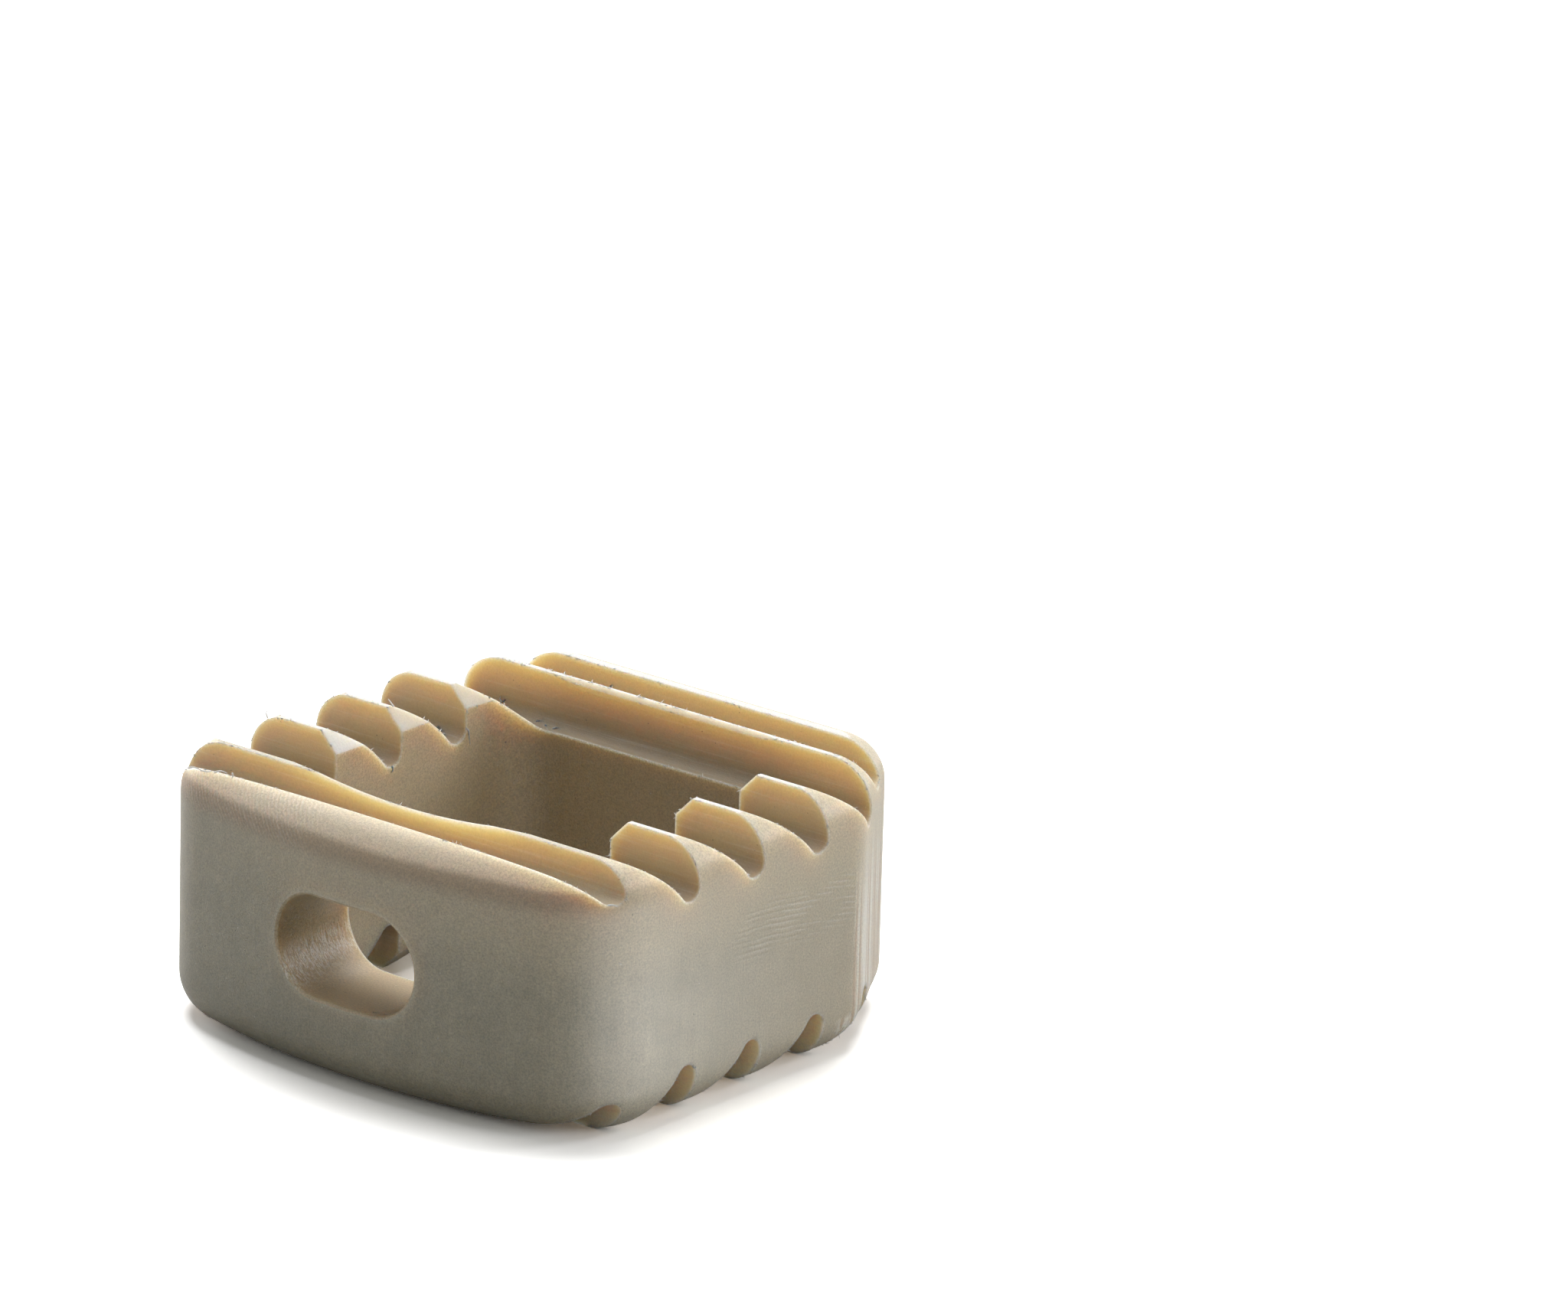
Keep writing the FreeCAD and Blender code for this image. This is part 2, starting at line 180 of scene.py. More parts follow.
# The inserter's slot, an oblong milled through the front wall at mid-height with a round
# cutter. Its outer edge is only just broken.
slot_length, slot_height, slot_rim_radius = 4.26, 2.5, 0.06
SLOT_RIM_STEPS = 4
SLOT_WALL = 4.0


def slot_walk():
    """The oblong from the front: x, z and the outward direction."""
    radius = slot_height / 2
    reach = (slot_length - slot_height) / 2
    walk = walk_arc(reach, 0, radius, -math.pi / 2, math.pi / 2, 0.1)
    walk += walk_line((reach, radius), (-reach, radius), (0, 1))
    walk += walk_arc(-reach, 0, radius, math.pi / 2, math.pi * 1.5, 0.1)
    return walk + walk_line((-reach, -radius), (reach, -radius), (0, -1))


def slot_ring(push, depth):
    """The oblong pushed out and set at a depth behind the bowed face."""
    ring = []
    for x, z, across, upwards in slot_walk():
        place = x + across * push
        face = bow_centre_y - math.sqrt(bow_radius ** 2 - place ** 2)
        ring.append((place, face + depth, z + upwards * push))
    return ring


slot_rings = [slot_ring(slot_rim_radius, -1)]
for step in range(SLOT_RIM_STEPS + 1):
    turn = math.pi / 2 * step / SLOT_RIM_STEPS
    slot_rings.append(slot_ring(slot_rim_radius * (1 - math.sin(turn)),
                                slot_rim_radius * (1 - math.cos(turn))))
slot_rings.append(slot_ring(0, front_wall + 1))
slot_cutter = stack_rings("slot cutter", slot_rings, SLOT_WALL)

# The teeth: grooves cut straight across with one form cutter, a steep face, a round root and
# a gently bulging flank. Four at one pitch, a narrow one behind the lip and a short one at
# the rear, the same below as above.
tooth_pitch, crest_land, groove_depth, end_groove_depth = 2.32, 0.16, 1.3, 0.88
groove_root_radius, flank_radius = 0.335, 5.0
lip_groove_mouth, rear_ridge_pitch = 1.45, 1.28
first_steep = 2.19 - cage_depth / 2
LONG_TEETH = 4
GROOVE = 1.0


def groove_cutter(name, mouth_width, depth):
    """A bar with the groove's section, its steep face at y = 0 and its mouth at z = 0."""
    root_y, root_z = -groove_root_radius, groove_root_radius - depth
    span = math.hypot(root_y + mouth_width, root_z)
    reach = flank_radius + groove_root_radius
    along = (flank_radius ** 2 - reach ** 2 + span ** 2) / (2 * span)
    aside = math.sqrt(flank_radius ** 2 - along ** 2)
    ahead = ((root_y + mouth_width) / span, root_z / span)
    flank_y = -mouth_width + ahead[0] * along + ahead[1] * aside
    flank_z = ahead[1] * along - ahead[0] * aside
    touch = math.atan2(root_z - flank_z, root_y - flank_y)
    leave = math.atan2(-flank_z, -mouth_width - flank_y)
    section = [(0, PAST)]
    section += [(y, z) for y, z, _, _ in
                walk_arc(root_y, root_z, groove_root_radius, 0, touch - math.pi, 0.05)]
    section += [(y, z) for y, z, _, _ in
                walk_arc(flank_y, flank_z, flank_radius, touch, leave, 0.08)]
    section += [(-mouth_width, 0), (-mouth_width, PAST)]
    half_bar = cage_width / 2 + 1
    ends = [[(x, y, z) for y, z in section] for x in (-half_bar, half_bar)]
    return stack_rings(name, ends, GROOVE)


tooth_cutter = groove_cutter("tooth cutter", tooth_pitch - crest_land, groove_depth)
lip_cutter = groove_cutter("lip cutter", lip_groove_mouth, end_groove_depth)
ridge_cutter = groove_cutter("ridge cutter", rear_ridge_pitch - crest_land, end_groove_depth)


class Graph:
    """A node tree that is built one node at a time."""

    def __init__(self, tree):
        self.tree = tree

    def node(self, kind, settings=None, inputs=None):
        """Adds a node: its settings first, then the values or links of its sockets."""
        made = self.tree.nodes.new(kind)
        for name, value in (settings or {}).items():
            setattr(made, name, value)
        for name, value in (inputs or {}).items():
            socket = made.inputs[name]
            for one in value if isinstance(value, list) else [value]:
                source = getattr(one, "socket", one)
                if isinstance(source, bpy.types.NodeSocket):
                    self.tree.links.new(source, socket)
                else:
                    socket.default_value = source
        return made


def shaping_tree(name, sizes):
    """A Geometry Nodes tree with these named inputs; gives its graph and its input node."""
    tree = bpy.data.node_groups.new(name, "GeometryNodeTree")
    tree.interface.new_socket("Geometry", in_out="INPUT", socket_type="NodeSocketGeometry")
    for size_name, kind in sizes.items():
        tree.interface.new_socket(size_name, in_out="INPUT", socket_type=kind)
    tree.interface.new_socket("Geometry", in_out="OUTPUT", socket_type="NodeSocketGeometry")
    graph = Graph(tree)
    return graph, graph.node("NodeGroupInput")


def shape_with(piece, graph, values):
    """Runs a tree on a piece and leaves the result as its plain mesh."""
    modifier = piece.modifiers.new("shape", "NODES")
    modifier.node_group = graph.tree
    for item in graph.tree.interface.items_tree:
        if item.in_out == "INPUT" and item.name in values:
            modifier[item.identifier] = values[item.name]
    bpy.context.view_layer.update()
    evaluated = piece.evaluated_get(bpy.context.evaluated_depsgraph_get())
    result = bpy.data.meshes.new_from_object(evaluated)
    piece.modifiers.remove(modifier)
    piece.data = result


natural_peek = bpy.data.materials.new("natural PEEK")
milling, given = shaping_tree("mill the cage", {
    "Window": "NodeSocketObject", "Slot": "NodeSocketObject", "Tooth": "NodeSocketObject",
    "Lip": "NodeSocketObject", "Ridge": "NodeSocketObject", "Teeth": "NodeSocketInt",
    "Pitch": "NodeSocketFloat", "First steep face": "NodeSocketFloat",
    "Ridge steep face": "NodeSocketFloat", "Half height": "NodeSocketFloat",
    "Material": "NodeSocketMaterial"})


def cutter_shape(name):
    """The mesh of the cutter that an input names."""
    found = milling.node("GeometryNodeObjectInfo", None, {"Object": given.outputs[name]})
    return found.outputs["Geometry"]


def place_at(y, z):
    """A place on the cage's middle plane."""
    return milling.node("ShaderNodeCombineXYZ", None, {"Y": y, "Z": z}).outputs[0]


half_height = given.outputs["Half height"]
row = milling.node("GeometryNodeMeshLine", {"mode": "OFFSET"}, {
    "Count": given.outputs["Teeth"],
    "Start Location": place_at(milling.node("ShaderNodeMath", {"operation": "ADD"}, {
        0: given.outputs["First steep face"], 1: given.outputs["Pitch"]}).outputs[0], half_height),
    "Offset": place_at(given.outputs["Pitch"], 0.0)})
long_grooves = milling.node("GeometryNodeInstanceOnPoints", None, {
    "Points": row.outputs["Mesh"], "Instance": cutter_shape("Tooth")})
lip_groove = milling.node("GeometryNodeTransform", None, {
    "Geometry": cutter_shape("Lip"),
    "Translation": place_at(given.outputs["First steep face"], half_height)})
ridge_groove = milling.node("GeometryNodeTransform", None, {
    "Geometry": cutter_shape("Ridge"),
    "Translation": place_at(given.outputs["Ridge steep face"], half_height)})
grooves = milling.node("GeometryNodeJoinGeometry", None, {
    "Geometry": [long_grooves.outputs[0], lip_groove.outputs[0], ridge_groove.outputs[0]]})
upper = milling.node("GeometryNodeRealizeInstances", None, {"Geometry": grooves.outputs[0]})
lower = milling.node("GeometryNodeTransform", None, {
    "Geometry": upper.outputs[0], "Rotation": (0, math.pi, 0)})
shape = given.outputs["Geometry"]
for tools in (cutter_shape("Window"), cutter_shape("Slot"), upper.outputs[0], lower.outputs[0]):
    cut = milling.node("GeometryNodeMeshBoolean", {"operation": "DIFFERENCE", "solver": "EXACT"}, {
        "Mesh 1": shape, "Mesh 2": tools})
    shape = cut.outputs["Mesh"]
standing = milling.node("GeometryNodeTransform", None, {
    "Geometry": shape, "Translation": place_at(0.0, half_height)})
plain = milling.node("GeometryNodeRealizeInstances", None, {"Geometry": standing.outputs[0]})
milling.node("NodeGroupOutput", None, {"Geometry": milling.node("GeometryNodeSetMaterial", None, {
    "Geometry": plain.outputs[0], "Material": given.outputs["Material"]}).outputs[0]})
shape_with(cage, milling, {
    "Window": window_cutter, "Slot": slot_cutter, "Tooth": tooth_cutter, "Lip": lip_cutter,
    "Ridge": ridge_cutter, "Teeth": LONG_TEETH, "Pitch": tooth_pitch * MM,
    "First steep face": first_steep * MM,
    "Ridge steep face": (first_steep + LONG_TEETH * tooth_pitch + rear_ridge_pitch) * MM,
    "Half height": cage_height / 2 * MM, "Material": natural_peek})
for tool in (window_cutter, slot_cutter, tooth_cutter, lip_cutter, ridge_cutter):
    bpy.data.objects.remove(tool)

# Points that the cuts left doubled, in metres.
weld_reach = 1e-7
trim = bmesh.new()
trim.from_mesh(cage.data)
bmesh.ops.remove_doubles(trim, verts=trim.verts, dist=weld_reach)
trim.to_mesh(cage.data)
trim.free()

# What the cutters left on the edges: short slivers along the sharp edges of the teeth and of
# the window's mouth, and some thin hairs of PEEK that still hang there. They are of one piece
# with the cage.
BURR = 5.0
sliver_thickness, sliver_length, sliver_spacing, sliver_share = 0.014, 0.085, 0.042, 0.4
sliver_sides, sharp_turn, ragged_scale = 4, math.radians(32), 1300.0
hair_thickness, hair_taper, hair_rings, hair_sides = 0.024, 0.6, 12, 6
hair_lines = [
    ((-6.27, -2.65, 6.58), (-6.32, -2.65, 6.68), (-6.32, -2.62, 6.75)),
    ((-4.69, 0.05, 6.58), (-4.77, 0.03, 6.68), (-4.83, 0.01, 6.75)),
    ((-5.13, 2.13, 5.47), (-5.05, 2.17, 5.40), (-4.96, 2.19, 5.28)),
    ((-5.00, 2.09, 5.41), (-4.91, 2.15, 5.38), (-4.83, 2.20, 5.33)),
    ((-4.86, 2.05, 5.38), (-4.80, 2.07, 5.29), (-4.80, 2.04, 5.22)),
    ((-4.25, 2.27, 5.53), (-4.21, 2.25, 5.39), (-4.15, 2.22, 5.22)),
    ((-4.27, 2.18, 5.62), (-4.20, 2.21, 5.56), (-4.17, 2.20, 5.47)),
    ((-5.11, 4.48, 5.52), (-5.17, 4.46, 5.59), (-5.17, 4.49, 5.65)),
    ((-5.09, 4.48, 5.52), (-5.05, 4.54, 5.58), (-4.98, 4.60, 5.58)),
    ((-3.91, 4.34, 5.35), (-3.78, 4.44, 5.34), (-3.65, 4.50, 5.24)),
    ((-3.59, 4.31, 5.34), (-3.47, 4.37, 5.24), (-3.34, 4.46, 5.21)),
    ((-3.31, 4.26, 5.32), (-3.23, 4.34, 5.34), (-3.13, 4.39, 5.27)),
    ((-2.82, 5.78, 6.11), (-2.79, 5.83, 6.17), (-2.71, 5.88, 6.15)),
    ((-4.28, -0.45, 5.31), (-4.24, -0.45, 5.22), (-4.27, -0.50, 5.15)),
    ((-5.33, -6.43, 6.50), (-5.23, -6.33, 6.52), (-5.10, -6.25, 6.46)),
    ((-4.98, -6.39, 6.52), (-4.84, -6.30, 6.49), (-4.77, -6.22, 6.51)),
    ((-4.60, -6.33, 6.54), (-4.49, -6.23, 6.58), (-4.36, -6.14, 6.53)),
    ((-4.26, -6.09, 6.56), (-4.23, -6.09, 6.50), (-4.23, -6.12, 6.43)),
    ((6.56, -5.20, 5.73), (6.63, -5.13, 5.75), (6.74, -5.06, 5.71)),
    ((6.97, -2.54, 1.21), (7.03, -2.52, 1.16), (7.05, -2.49, 1.20)),
    ((0.76, -6.68, 2.05), (0.84, -6.63, 2.01), (0.92, -6.56, 2.02)),
    ((1.09, -6.63, 2.07), (1.16, -6.59, 2.04), (1.22, -6.53, 2.06))]
hair_mesh = bpy.data.meshes.new("hairs")
hair_starts = range(0, 3 * len(hair_lines), 3)
hair_mesh.from_pydata([Vector(place) * MM for line in hair_lines for place in line],
                      [(first + step, first + step + 1) for first in hair_starts
                       for step in range(2)], [])
hairs = bpy.data.objects.new("hairs", hair_mesh)
bpy.context.collection.objects.link(hairs)
fraying, given = shaping_tree("fray the edges", {
    "Hairs": "NodeSocketObject", "Hair thickness": "NodeSocketFloat", "Spacing": "NodeSocketFloat",
    "Share": "NodeSocketFloat", "Thickness": "NodeSocketFloat", "Length": "NodeSocketFloat",
    "Half height": "NodeSocketFloat", "Groove depth": "NodeSocketFloat", "Mark": "NodeSocketFloat",
    "Seed": "NodeSocketInt", "Material": "NodeSocketMaterial"})


def figure(operation, first, second):
    """One sum on numbers of the fraying tree."""
    made = fraying.node("ShaderNodeMath", {"operation": operation}, {0: first, 1: second})
    return made.outputs[0]


def chance(kind, low, high, draw):
    """A random number or vector for each sliver, another one for each draw."""
    first = {"FLOAT": 2, "FLOAT_VECTOR": 0}[kind]
    made = fraying.node("FunctionNodeRandomValue", {"data_type": kind}, {
        first: low, first + 1: high, 8: figure("ADD", given.outputs["Seed"], draw)})
    return made.outputs[{"FLOAT": 1, "FLOAT_VECTOR": 0}[kind]]


spot = fraying.node("GeometryNodeInputPosition").outputs[0]
level = fraying.node("ShaderNodeSeparateXYZ", None, {0: spot}).outputs["Z"]
from_middle = fraying.node("ShaderNodeMath", {"operation": "ABSOLUTE"}, {
    0: figure("SUBTRACT", level, given.outputs["Half height"])}).outputs[0]
toothed = figure("GREATER_THAN", from_middle, figure(
    "SUBTRACT", given.outputs["Half height"], given.outputs["Groove depth"]))
above_table = figure("GREATER_THAN", level, given.outputs["Length"])
corner = fraying.node("GeometryNodeInputMeshEdgeAngle").outputs["Unsigned Angle"]
edges = fraying.node("GeometryNodeMeshToCurve", None, {
    "Mesh": given.outputs["Geometry"],
    "Selection": figure("MULTIPLY", figure("MULTIPLY", toothed, above_table),
                        figure("GREATER_THAN", corner, sharp_turn))})
dots = fraying.node("GeometryNodeCurveToPoints", {"mode": "LENGTH"}, {
    "Curve": edges.outputs[0], "Length": given.outputs["Spacing"]})
ragged = fraying.node("ShaderNodeTexNoise", {"noise_dimensions": "3D"}, {
    "Vector": spot, "Scale": ragged_scale, "Detail": 2.0}).outputs[0]
kept = figure("MULTIPLY", figure("GREATER_THAN", ragged, 0.5),
              figure("LESS_THAN", chance("FLOAT", 0.0, 1.0, 1), given.outputs["Share"]))
sliver = fraying.node("GeometryNodeMeshCone", {"fill_type": "NGON"}, {
    "Vertices": sliver_sides, "Side Segments": 1, "Radius Top": 0.0,
    "Radius Bottom": given.outputs["Thickness"], "Depth": given.outputs["Length"]})
slivers = fraying.node("GeometryNodeInstanceOnPoints", None, {
    "Points": dots.outputs["Points"], "Selection": kept, "Instance": sliver.outputs["Mesh"],
    "Rotation": chance("FLOAT_VECTOR", (-math.pi,) * 3, (math.pi,) * 3, 2),
    "Scale": chance("FLOAT_VECTOR", (0.5, 0.5, 0.4), (1.3, 1.3, 1.4), 3)})
drawn = fraying.node("GeometryNodeMeshToCurve", None, {"Mesh": fraying.node(
    "GeometryNodeObjectInfo", None, {"Object": given.outputs["Hairs"]}).outputs["Geometry"]})
bent = fraying.node("GeometryNodeCurveSplineType", {"spline_type": "CATMULL_ROM"}, {
    "Curve": drawn.outputs[0]})
along_hair = fraying.node("GeometryNodeSplineParameter").outputs["Factor"]
strands = fraying.node("GeometryNodeCurveToMesh", None, {
    "Curve": fraying.node("GeometryNodeResampleCurve", {"mode": "COUNT"}, {
        "Curve": bent.outputs[0], "Count": hair_rings}).outputs[0],
    "Profile Curve": fraying.node("GeometryNodeCurvePrimitiveCircle", {"mode": "RADIUS"}, {
        "Resolution": hair_sides, "Radius": given.outputs["Hair thickness"]}).outputs[0],
    "Scale": figure("SUBTRACT", 1.0, figure("MULTIPLY", along_hair, hair_taper)),
    "Fill Caps": True})
waste = fraying.node("GeometryNodeStoreNamedAttribute", {"data_type": "FLOAT", "domain": "FACE"}, {
    "Geometry": fraying.node("GeometryNodeRealizeInstances", None, {
        "Geometry": fraying.node("GeometryNodeJoinGeometry", None, {
            "Geometry": [slivers.outputs[0], strands.outputs[0]]}).outputs[0]}).outputs[0],
    "Name": "cut_by", "Value": given.outputs["Mark"]})
whole = fraying.node("GeometryNodeJoinGeometry", None, {
    "Geometry": [given.outputs["Geometry"], waste.outputs[0]]})
plain = fraying.node("GeometryNodeRealizeInstances", None, {"Geometry": whole.outputs[0]})
fraying.node("NodeGroupOutput", None, {"Geometry": fraying.node("GeometryNodeSetMaterial", None, {
    "Geometry": plain.outputs[0], "Material": given.outputs["Material"]}).outputs[0]})
shape_with(cage, fraying, {
    "Hairs": hairs, "Hair thickness": hair_thickness * MM, "Spacing": sliver_spacing * MM,
    "Share": sliver_share, "Thickness": sliver_thickness * MM, "Length": sliver_length * MM,
    "Half height": cage_height / 2 * MM, "Groove depth": (groove_depth + 0.05) * MM, "Mark": BURR,
    "Seed": 11, "Material": natural_peek})
bpy.data.objects.remove(hairs)

# The faces meet smoothly but for real corners, and large faces lead the shading.
corner_turn = math.radians(15)
cage.data.shade_smooth()
cage.data.set_sharp_from_angle(angle=corner_turn)
even = cage.modifiers.new("even shading", "WEIGHTED_NORMAL")
even.mode = "FACE_AREA"
even.keep_sharp = True
cage.data.materials.clear()
cage.data.materials.append(natural_peek)


class Reading:
    """A number that changes over the surface, so that maths on it can be written as maths."""

    def __init__(self, graph, socket):
        self.graph = graph
        self.socket = socket

    def math(self, operation, *terms):
        made = self.graph.node("ShaderNodeMath", {"operation": operation}, dict(enumerate(terms)))
        return Reading(self.graph, made.outputs[0])

    def __add__(self, other):
        return self.math("ADD", self, other)

    def __radd__(self, other):
        return self.math("ADD", other, self)

    def __sub__(self, other):
        return self.math("SUBTRACT", self, other)

    def __rsub__(self, other):
        return self.math("SUBTRACT", other, self)

    def __mul__(self, other):
        return self.math("MULTIPLY", self, other)

    def __abs__(self):
        return self.math("ABSOLUTE", self)

    def rise(self, low, high):
        """0 below the low value, 1 above the high one, and smooth between them."""
        made = self.graph.node("ShaderNodeMapRange", {"interpolation_type": "SMOOTHSTEP"}, {
            "Value": self, "From Min": low, "From Max": high})
        return Reading(self.graph, made.outputs[0])

    def near(self, value, reach):
        """1 within the reach of a value and 0 elsewhere."""
        return self.math("COMPARE", self, value, reach)


# Natural PEEK: beige and faintly see-through, grey low on the front and warmer towards the rear,
# with the cutters' marks and pale edges. Painted into the colour are shade low on the front, glow
# towards the teeth and on the rim, light and shade in the grooves, window and slot, and highlights
# on the crests, countersinks and edges. Its colours are linear RGBA.
natural_peek.use_nodes = True
natural_peek.node_tree.nodes.clear()
peek = Graph(natural_peek.node_tree)
# Places on the cage in millimetres, as the block was laid out but standing on its teeth.
place = peek.node("ShaderNodeVectorMath", {"operation": "SCALE"}, {
    0: peek.node("ShaderNodeTexCoord").outputs["Object"], "Scale": 1 / MM}).outputs[0]
split = peek.node("ShaderNodeSeparateXYZ", None, {0: place})
x, y, z = [Reading(peek, socket) for socket in split.outputs]
marks = peek.node("ShaderNodeAttribute", {"attribute_name": "cut_by"})
cut_by = Reading(peek, marks.outputs["Fac"])
in_groove = cut_by.near(GROOVE, 0.5)
on_window_wall = cut_by.near(WINDOW_WALL, 0.5)
on_countersink = cut_by.near(COUNTERSINK, 0.5)
in_slot = cut_by.near(SLOT_WALL, 0.5)
on_burr = cut_by.near(BURR, 0.5)
middle_level = cage_height / 2
off_middle = z - middle_level
above_middle = abs(off_middle)
on_crest = above_middle.rise(middle_level - 0.03, middle_level - 0.01)


def blend(under, over, share):
    """One colour over another by a share."""
    made = peek.node("ShaderNodeMix", {"data_type": "RGBA"}, {0: share, 6: under, 7: over})
    return made.outputs[2]


def stretched(across, along, upwards):
    """Places pulled out, so that a pattern on them runs one way."""
    return peek.node("ShaderNodeVectorMath", {"operation": "MULTIPLY"}, {
        0: place, 1: (across, along, upwards)}).outputs[0]


def mottle(at, scale, detail=3.0, roughness=0.6):
    """Soft patches between 0 and 1."""
    made = peek.node("ShaderNodeTexNoise", {"noise_dimensions": "3D"}, {
        "Vector": at, "Scale": scale, "Detail": detail, "Roughness": roughness})
    return Reading(peek, made.outputs[0])


wall_grey, wall_pale = (0.425, 0.39, 0.285, 1), (0.54, 0.49, 0.36, 1)
painted_low_shade, window_lit_low = (0.35, 0.325, 0.24, 1), (0.78, 0.70, 0.56, 1)
side_warm = (0.57, 0.495, 0.365, 1)
upper_glow_tan, rim_shade_brown = (0.61, 0.535, 0.38, 1), (0.47, 0.37, 0.25, 1)
rim_lit_pale, rim_lit_cream = (0.71, 0.63, 0.49, 1), (0.62, 0.56, 0.43, 1)
lit_stripe_tan, lit_stripe_white = (0.56, 0.43, 0.30, 1), (0.82, 0.78, 0.68, 1)
highlight_and_mark_white = (0.80, 0.77, 0.70, 1)
countersink_lit_white, countersink_cream = (0.72, 0.71, 0.67, 1), (0.66, 0.61, 0.50, 1)
halo_grey, notch_pale = (0.54, 0.515, 0.42, 1), (0.93, 0.77, 0.57, 1)
groove_glow_tan, groove_shade_brown = (0.67, 0.575, 0.385, 1), (0.47, 0.37, 0.24, 1)
rear_glow_gold, lip_grey = (0.68, 0.575, 0.365, 1), (0.56, 0.52, 0.43, 1)
window_brown, window_lit_tan = (0.47, 0.375, 0.24, 1), (0.65, 0.545, 0.38, 1)
slot_tan, slot_shade_olive = (0.53, 0.43, 0.29, 1), (0.37, 0.30, 0.18, 1)
painted_slot_sheen = (0.90, 0.89, 0.85, 1)
dust_dark, dust_pale = (0.16, 0.15, 0.10, 1), (0.72, 0.70, 0.63, 1)
speck_dark, speck_light = (0.76, 0.76, 0.76, 1), (1.26, 1.26, 1.26, 1)
edge_radius, edge_samples = 0.15, 6
relief_strength, relief_height = 0.3, 0.02

clouds = mottle(place, 1.1, 4.0, 0.65)
grain = mottle(place, 20.0, 3.0, 0.8).rise(0.22, 0.78)
feed_lines = mottle(stretched(9.0, 9.0, 0.35), 1.0, 3.0, 0.7)
straight = peek.node("ShaderNodeNewGeometry").outputs["Normal"]
facing = peek.node("ShaderNodeSeparateXYZ", None, {0: straight})
facing_x, facing_y = [Reading(peek, socket) for socket in facing.outputs[:2]]
painted_rim_light = (z + clouds * 0.1 - 0.05).rise(5.93, 6.14)
painted_upper_glow = (z + clouds * 0.8 - 0.4).rise(3.2, 5.2) * (x.rise(-5.5, -0.5) * 0.7 + 0.3)
rim_band = (z + clouds * 0.2 - 0.1).rise(5.35, 5.8) * y.rise(-4.4, -5.3)
paler = clouds.rise(0.3, 0.75) * 0.6 + feed_lines.rise(0.35, 0.75) * 0.25
skin = blend(wall_grey, wall_pale, paler)
# Painted shade: darker low on the front and towards its left, where the table before it is in
# shadow.
skin = blend(skin, painted_low_shade, z.rise(2.8, 0.8) * x.rise(1.0, -3.0) * 0.6)
skin = blend(skin, side_warm, y.rise(-3.5, 2.5) * 0.55)
# The rear bevels: the cutter's stripes, and painted light that makes them paler than the side,
# less on the flat rear.
past_side = (1 - abs(facing_x).rise(0.985, 0.999)) * y.rise(2.5, 3.0)
bands = mottle(stretched(5.0, 5.0, 0.1), 1.0, 3.0, 0.75)
skin = blend(skin, blend(lit_stripe_tan, lit_stripe_white, bands.rise(0.44, 0.56)),
             past_side * (0.75 - facing_y.rise(0.97, 0.999) * 0.45))
# Painted glow: the walls lighter and warmer towards the teeth, more so to the right.
skin = blend(skin, upper_glow_tan, painted_upper_glow)
# Painted shade: a brown band along the front rim's rounding.
skin = blend(skin, rim_shade_brown, rim_band * 0.8)
# Painted light on the upper rim where it turns to face up.
skin = blend(skin, blend(rim_lit_pale, rim_lit_cream, z.rise(6.05, 6.4)), painted_rim_light)
# Painted highlight on the crests, greyer on the crest behind the lip.
skin = blend(skin, blend(lip_grey, highlight_and_mark_white, y.rise(-4.4, -3.6)), on_crest)
# Painted glow and shade in the grooves: lighter and golden towards the crests, darker deep down.
near_crest = above_middle.rise(middle_level - groove_depth, middle_level - 0.25)
cutter_lines = mottle(stretched(0.3, 12.0, 12.0), 1.0, 3.0, 0.7)
groove = blend(groove_shade_brown, blend(groove_glow_tan, rear_glow_gold, y.rise(3.6, 4.4)), near_crest)
groove = blend(groove, notch_pale, z.rise(2.0, 1.0) * abs(x).rise(4.7, 5.4))
groove = blend(groove, highlight_and_mark_white, cutter_lines.rise(0.5, 0.8) * 0.35)
colour = blend(skin, groove, in_groove)
# Painted light in the window: its wall that faces right lighter towards the top, and a lit patch
# low down that shows through the slot.
window = blend(window_brown, window_lit_tan, facing_x.rise(0.3, 0.9) * z.rise(-3.5, 5.0))
window = blend(window, window_lit_low, z.rise(2.6, 1.4))
colour = blend(colour, window, on_window_wall)
# In the slot: a painted sheen streaked by the cutter's marks, and painted shade on its upper left.
slot_marks = mottle(stretched(10.0, 24.0, 2.0), 1.0, 3.0, 0.7)
above_sheen = z - (2.5 + (y + 6.6) * 0.12)
in_sheen = (1 - abs(above_sheen).rise(0.12, 0.55)) * x.rise(-0.9, -1.5)
shaded = above_sheen.rise(0.3, 0.9) * x.rise(1.0, -0.2) * y.rise(-4.6, -5.6)
slot = blend(slot_tan, slot_shade_olive, shaded)
slot = blend(slot, painted_slot_sheen, (slot_marks.rise(0.45, 0.58) * 0.58 + 0.02) * in_sheen)
past_straight = abs(x) - (slot_length - slot_height) / 2
past_straight = past_straight.math("MAXIMUM", past_straight, 0.0)
squared = past_straight * past_straight + off_middle * off_middle
from_slot = squared.math("SQRT", squared) - slot_height / 2
on_front = y.rise(-5.8, -6.2)
halo = from_slot.rise(0.26, 0.04) * on_front * (1 - in_slot)
colour = blend(colour, halo_grey, halo * 0.6)
colour = blend(colour, slot, in_slot)
# Painted light on the countersinks: whitest at the front, creamier towards the rear.
countersink = blend(countersink_lit_white, countersink_cream, y.rise(-1.5, 0.5))
colour = blend(colour, countersink, on_countersink)
colour = blend(colour, highlight_and_mark_white, on_burr)
